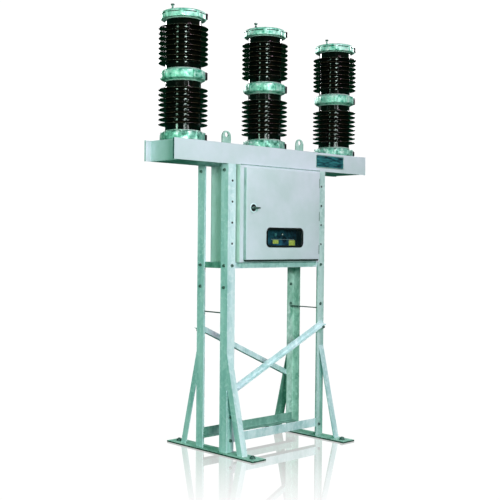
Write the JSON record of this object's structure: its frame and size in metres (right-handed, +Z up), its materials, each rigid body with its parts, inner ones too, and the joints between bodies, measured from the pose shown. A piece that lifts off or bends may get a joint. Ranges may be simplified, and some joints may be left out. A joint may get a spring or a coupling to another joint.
{
  "type": "substation circuit breaker",
  "caption": "Outdoor high-voltage circuit breaker: shedded porcelain poles on a sheet-steel beam, angle-iron stand, operating cabinet with hinged door.",
  "frame": {"origin": "on the ground, midway between the four legs", "axes": "+X along the beam, +Y from the door side to the back, +Z up"},
  "size_m": [2.2, 1.02, 3.441],
  "materials": {
    "galvanised_steel": "hot-dip galvanised structural steel",
    "galvanised_plate": "galvanised base plate, weathered green-grey",
    "grey_enamel": "pale grey enamel on sheet steel",
    "brown_porcelain": "dark brown glazed porcelain",
    "cast_aluminium": "sand-cast aluminium alloy",
    "black_plastic": "black moulded plastic",
    "clear_glass": "clear pane",
    "dark_panel": "dark blue painted panel",
    "nameplate_face": "bare dark teal plate"
  },
  "bodies": {
    "frame": {"base_flange_left": "cast_aluminium", "base_flange_middle": "cast_aluminium", "base_flange_right": "cast_aluminium", "base_plate_left": "galvanised_plate", "base_plate_right": "galvanised_plate", "beam_bottom_cover": "grey_enamel", "beam_channel": "grey_enamel", "beam_end_pan_left": "grey_enamel", "beam_end_pan_right": "grey_enamel", "cabinet_back": "grey_enamel", "cabinet_floor": "grey_enamel", "cabinet_hinges": "grey_enamel", "cabinet_rail_back": "galvanised_steel", "cabinet_rail_front": "galvanised_steel", "cabinet_roof": "grey_enamel", "cabinet_wall_left": "grey_enamel", "cabinet_wall_right": "grey_enamel", "diagonal_brace_back": "galvanised_steel", "diagonal_brace_front": "galvanised_steel", "dial_panel": "dark_panel", "leg_back_left": "galvanised_steel", "leg_back_right": "galvanised_steel", "leg_front_left": "galvanised_steel", "leg_front_right": "galvanised_steel", "lifting_lug_left": "galvanised_steel", "lifting_lug_right": "galvanised_steel", "lower_porcelain_left": "brown_porcelain", "lower_porcelain_middle": "brown_porcelain", "lower_porcelain_right": "brown_porcelain", "lower_rail_back": "galvanised_steel", "lower_rail_front": "galvanised_steel", "mechanism_housing": "grey_enamel", "middle_flange_left": "cast_aluminium", "middle_flange_middle": "cast_aluminium", "middle_flange_right": "cast_aluminium", "nameplate": "nameplate_face", "side_rail_left": "galvanised_steel", "side_rail_right": "galvanised_steel", "side_tie_left": "galvanised_steel", "side_tie_right": "galvanised_steel", "strut_back_left": "galvanised_steel", "strut_back_right": "galvanised_steel", "strut_front_left": "galvanised_steel", "strut_front_right": "galvanised_steel", "top_cap_left": "cast_aluminium", "top_cap_middle": "cast_aluminium", "top_cap_right": "cast_aluminium", "upper_porcelain_left": "brown_porcelain", "upper_porcelain_middle": "brown_porcelain", "upper_porcelain_right": "brown_porcelain"},
    "door": {"door_pan": "grey_enamel", "window_bezel": "black_plastic", "window_glass": "clear_glass", "lock_plate": "black_plastic", "door_hinges": "grey_enamel"},
    "lock": {"lock_handle": "black_plastic"}
  },
  "joints": [
    {"name": "door_hinge", "type": "hinge", "parent": "frame", "child": "door", "pos_m": [0.435, -0.222, 1.878], "axis": [0, 0, 1], "range_deg": [0, 110]},
    {"name": "lock_turn", "type": "hinge", "parent": "door", "child": "lock", "pos_m": [-0.351, -0.25, 1.925], "axis": [0, 1, 0], "range_deg": [0, 90]}
  ]
}
